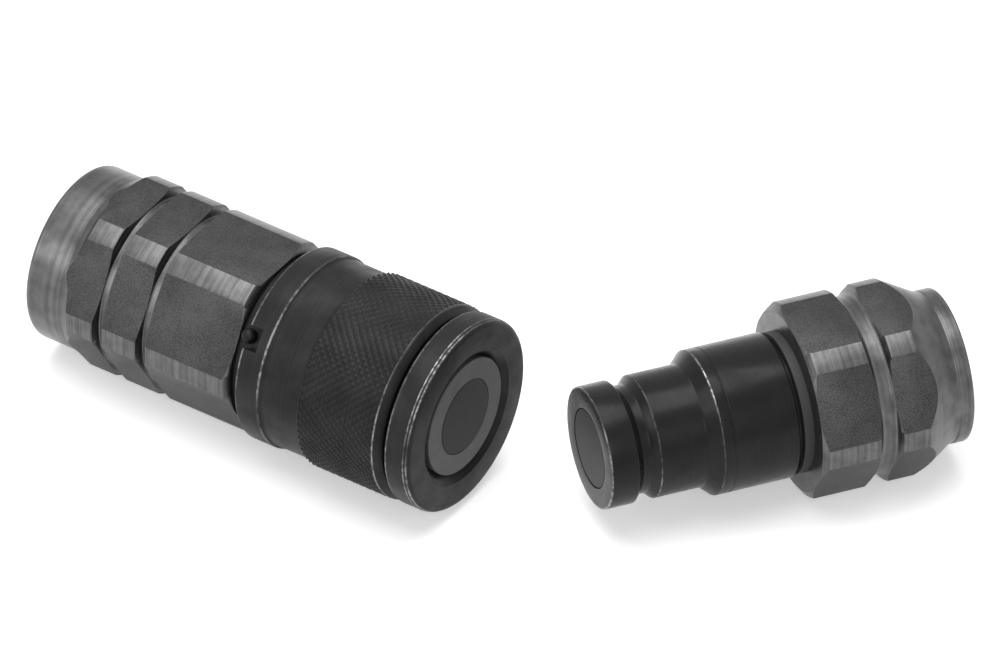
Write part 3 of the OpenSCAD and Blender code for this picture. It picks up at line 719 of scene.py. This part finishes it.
class COUPLING_OT_plug_adapter(bpy.types.Operator):
    """Makes the plug's hexagon adapter with its groove, cone, collar and port"""

    bl_idname = "coupling.plug_adapter"
    bl_label = "Plug adapter"

    def execute(self, context):
        _socket, sizes, shared, colours = settings()
        z0, z1, _outer = span("plug", "plug_adapter")
        guide_z1, bore = span("plug", "plug_guide")[1:]
        bore += 0.03 * MM
        hex_r, floor = shared.hex_r, sizes.groove2_floor
        g0 = z0 + sizes.hex_l
        g1 = g0 + sizes.groove2_w
        cone = g1 + sizes.hex2_l
        collar = z1 - sizes.collar_l
        outline = [
            (bore, z0, 0.15 * MM),
            (hex_r - shared.hex_bevel, z0, 0.2 * MM), (hex_r, z0 + 1 * MM, 0.4 * MM),
            (hex_r, g0, 0.25 * MM), (floor, g0 + 0.9 * MM, 0.8 * MM),
            (floor, g1 - 0.9 * MM, 0.8 * MM), (hex_r, g1, 0.25 * MM), (hex_r, cone, 0.5 * MM),
            (sizes.cone_r + 0.55 * MM, collar - 1.7 * MM, 3 * MM),
            (sizes.cone_r, collar - 0.4 * MM, 0.4 * MM), (sizes.collar_r, collar, 0.2 * MM),
            (sizes.collar_r, z1, 0.45 * MM),
        ] + port_outline(z1, shared) + [(shared.flow_r, guide_z1), (bore, guide_z1)]
        bm = bmesh.new()
        lathe(bm, soften(outline, 5))
        cut_flats(bm, shared.flat_r, z0, z1, 1)
        soften_flats(bm, shared.flat_edge, 1)
        merge(bm, thread_ridge(
            shared.port_minor, shared.port_major, shared.port_pitch, z1 - shared.port_l + 2.2 * MM, z1 - 0.2 * MM
        ))
        finishes = [
            turned_steel("turned_steel_plug", "plug", colours.plated),
            granular_steel("granular_steel_plug", "plug", colours.flats),
        ]
        finish_piece(bm, "plug_adapter_piece", "plug", "housings", "plug_adapter", finishes)
        return {"FINISHED"}


class COUPLING_OT_springs(bpy.types.Operator):
    """Makes the three wire springs"""

    bl_idname = "coupling.springs"
    bl_label = "Springs"

    def execute(self, context):
        colours = settings()[3]
        # node, half, joint, then wire, turns, travel and mean radius, lengths in millimetres
        springs = (
            ("sleeve_spring", "socket", "sleeve_slide", 1.4, 4.5, 2.0, 16.15),
            ("valve_sleeve_spring", "socket", "outer_valve_slide", 1.5, 5.5, 19.5, 12.05),
            ("plug_valve_spring", "plug", "centre_valve_slide", 1.2, 8.5, 19.5, 5.65),
        )
        for node, half, joint, wire, turns, travel, mean in springs:
            z0, z1, _outer = span(half, node)
            bm = bmesh.new()
            bmesh.ops.create_circle(bm, cap_ends=True, segments=12, radius=wire * MM / 2)
            bmesh.ops.rotate(bm, cent=(0, 0, 0), matrix=Matrix.Rotation(math.pi / 2, 3, "X"), verts=bm.verts)
            bmesh.ops.translate(bm, vec=(mean * MM, 0, z0 + wire * MM / 2), verts=bm.verts)
            steps = int(turns * 48)
            bmesh.ops.spin(
                bm, geom=bm.verts[:] + bm.edges[:] + bm.faces[:], cent=(0, 0, 0), axis=(0, 0, 1),
                dvec=(0, 0, (z1 - z0 - wire * MM) / steps), angle=math.tau * turns, steps=steps,
            )
            bmesh.ops.recalc_face_normals(bm, faces=bm.faces)
            finish = wire_steel(node + "_wire", half, scaled(colours.worn, 0.9))
            piece = finish_piece(bm, node + "_piece", half, "housings", node, [finish])
            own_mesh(piece)
        return {"FINISHED"}


class COUPLING_OT_finishes(bpy.types.Operator):
    """Gives the remaining pieces their finish"""

    bl_idname = "coupling.finishes"
    bl_label = "Finishes"

    def execute(self, context):
        colours = settings()[3]
        dark = {half: black_steel("guide_steel_" + half, half, colours.black, colours.worn, []) for half in HALVES}
        rubber = {half: soft_rubber("seal_rubber_" + half, half, 0.02) for half in HALVES}
        bright = {half: wire_steel("machined_steel_" + half, half, colours.worn) for half in HALVES}
        chosen = {
            "sleeve_guide_ring": dark["socket"],
            "sleeve_lock_ball": dark["socket"],
            "locking_balls": bright["socket"],
            "nose_seal": rubber["socket"],
            "nose_backup_ring": matte_face("backup_ring", "socket", (0.75, 0.72, 0.62), 0.5),
            "valve_sleeve": matte_face("valve_face", "socket", colours.valve, 0.5),
            "socket_stem": matte_face("stem_face", "socket", colours.stem, 0.55),
            "stem_seal": rubber["socket"],
            "stem_spider": bright["socket"],
            "stem_nut": bright["socket"],
            "socket_body_seal": rubber["socket"],
            "plug_neck_ring": rubber["plug"],
            "plug_body_seal": rubber["plug"],
            "plug_valve": matte_face("plug_valve_face", "plug", colours.stem, 0.45),
            "plug_valve_seal": rubber["plug"],
            "plug_guide": bright["plug"],
        }
        for node, material in chosen.items():
            mesh = frame["nodes"][node].data
            mesh.materials.clear()
            mesh.materials.append(material)
        return {"FINISHED"}


# ---------------------------------------------------------------- stage


def seen_rays(tree):
    """1 for rays that show a surface, straight, mirrored or through glass; 0 for those that only light it."""
    path = tree.nodes.new("ShaderNodeLightPath")
    total = path.outputs["Is Camera Ray"]
    for ray in ("Is Glossy Ray", "Is Transmission Ray"):
        either = tree.nodes.new("ShaderNodeMath")
        either.operation = "MAXIMUM"
        tree.links.new(total, either.inputs[0])
        tree.links.new(path.outputs[ray], either.inputs[1])
        total = either.outputs[0]
    return total


def pale_material(name, colour, camera_boost):
    """Matte surface that looks nearly white to the camera and in reflections."""
    material = bpy.data.materials.new(name)
    material.use_nodes = True
    tree = material.node_tree
    tree.nodes.clear()
    output = tree.nodes.new("ShaderNodeOutputMaterial")
    diffuse = tree.nodes.new("ShaderNodeBsdfDiffuse")
    diffuse.inputs["Color"].default_value = (*colour, 1)
    glow = tree.nodes.new("ShaderNodeEmission")
    glow.inputs["Strength"].default_value = camera_boost
    seen = seen_rays(tree)
    nothing = tree.nodes.new("ShaderNodeEmission")
    nothing.inputs["Strength"].default_value = 0
    choose = tree.nodes.new("ShaderNodeMixShader")
    tree.links.new(seen, choose.inputs[0])
    tree.links.new(nothing.outputs[0], choose.inputs[1])
    tree.links.new(glow.outputs[0], choose.inputs[2])
    total = tree.nodes.new("ShaderNodeAddShader")
    tree.links.new(diffuse.outputs[0], total.inputs[0])
    tree.links.new(choose.outputs[0], total.inputs[1])
    tree.links.new(total.outputs[0], output.inputs["Surface"])
    return material


class COUPLING_OT_stage(bpy.types.Operator):
    """Makes the floor, the lamps, the sky and the camera"""

    bl_idname = "coupling.stage"
    bl_label = "Stage"

    def execute(self, context):
        colours = settings()[3]
        self.floor(colours)
        self.sky()
        lamps = (
            ("overhead", (-0.1, 0.05, 0.9), 0.9, 9.0),
            ("front", (0.3, -1.0, 0.7), 0.6, 3.0),
            ("left", (-1.0, -0.4, 0.5), 0.6, 3.0),
        )
        for name, place, size, power in lamps:
            self.lamp(name, Vector(place), size, power)
        self.camera()
        return {"FINISHED"}

    def floor(self, colours):
        bm = bmesh.new()
        bmesh.ops.create_grid(bm, x_segments=1, y_segments=1, size=6)
        mesh = bpy.data.meshes.new("floor")
        bm.to_mesh(mesh)
        bm.free()
        mesh.materials.append(pale_material("pale_floor", colours.floor, 0.4))
        floor = bpy.data.objects.new("floor", mesh)
        bpy.context.scene.collection.objects.link(floor)

    def sky(self):
        world = bpy.data.worlds.new("studio")
        bpy.context.scene.world = world
        world.use_nodes = True
        tree = world.node_tree
        back = tree.nodes["Background"]
        strength = tree.nodes.new("ShaderNodeMapRange")
        tree.links.new(seen_rays(tree), strength.inputs["Value"])
        strength.inputs["To Min"].default_value = 0.45
        strength.inputs["To Max"].default_value = 1.0
        tree.links.new(strength.outputs["Result"], back.inputs["Strength"])
        back.inputs["Color"].default_value = (1, 1, 1, 1)

    def lamp(self, name, place, size, power):
        data = bpy.data.lights.new(name, "AREA")
        data.shape = "SQUARE"
        data.size = size
        data.energy = power
        lamp = bpy.data.objects.new(name, data)
        bpy.context.scene.collection.objects.link(lamp)
        lamp.location = place
        lamp.rotation_euler = (-place).to_track_quat("-Z", "Y").to_euler()

    def camera(self):
        """Long lens, looking down on the pair from the front."""
        data = bpy.data.cameras.new("camera")
        data.lens = CAMERA_LENS
        data.clip_end = 50
        camera = bpy.data.objects.new("camera", data)
        bpy.context.scene.collection.objects.link(camera)
        right = Vector(CAMERA_RIGHT)
        up = -Vector(CAMERA_DOWN)
        back = right.cross(up)
        camera.matrix_world = Matrix.Translation(PLACE["socket"].translation + Vector(CAMERA_OFFSET)) @ Matrix(
            (right, up, back)
        ).transposed().to_4x4()
        bpy.context.scene.camera = camera


# ---------------------------------------------------------------- add-on


class COUPLING_PT_panel(bpy.types.Panel):
    """Lists the coupling's pieces and sizes"""

    bl_label = "Quick coupling"
    bl_idname = "COUPLING_PT_panel"
    bl_space_type = "VIEW_3D"
    bl_region_type = "UI"
    bl_category = "Coupling"

    def draw(self, context):
        for operator in OPERATORS:
            self.layout.operator(operator.bl_idname)
        for group in GROUPS:
            box = self.layout.box()
            values = getattr(context.scene, group)
            for key in values.bl_rna.properties.keys():
                if key not in ("rna_type", "name"):
                    box.prop(values, key)


GROUPS = {
    "coupling_socket": CouplingSocketSizes,
    "coupling_plug": CouplingPlugSizes,
    "coupling_shared": CouplingSharedSizes,
    "coupling_colours": CouplingColours,
}
OPERATORS = (
    COUPLING_OT_stage,
    COUPLING_OT_socket_body,
    COUPLING_OT_sleeve,
    COUPLING_OT_socket_adapter,
    COUPLING_OT_plug_body,
    COUPLING_OT_plug_adapter,
    COUPLING_OT_springs,
    COUPLING_OT_finishes,
)


def register():
    for group in GROUPS.values():
        bpy.utils.register_class(group)
    for name, group in GROUPS.items():
        setattr(bpy.types.Scene, name, PointerProperty(type=group))
    for operator in OPERATORS:
        bpy.utils.register_class(operator)
    bpy.utils.register_class(COUPLING_PT_panel)


def unregister():
    bpy.utils.unregister_class(COUPLING_PT_panel)
    for operator in reversed(OPERATORS):
        bpy.utils.unregister_class(operator)
    for name, group in GROUPS.items():
        delattr(bpy.types.Scene, name)
        bpy.utils.unregister_class(group)


def main():
    register()
    bpy.context.scene.view_settings.view_transform = "Standard"
    for operator in OPERATORS:
        getattr(bpy.ops.coupling, operator.bl_idname.split(".")[1])()


if __name__ == "__main__":
    main()
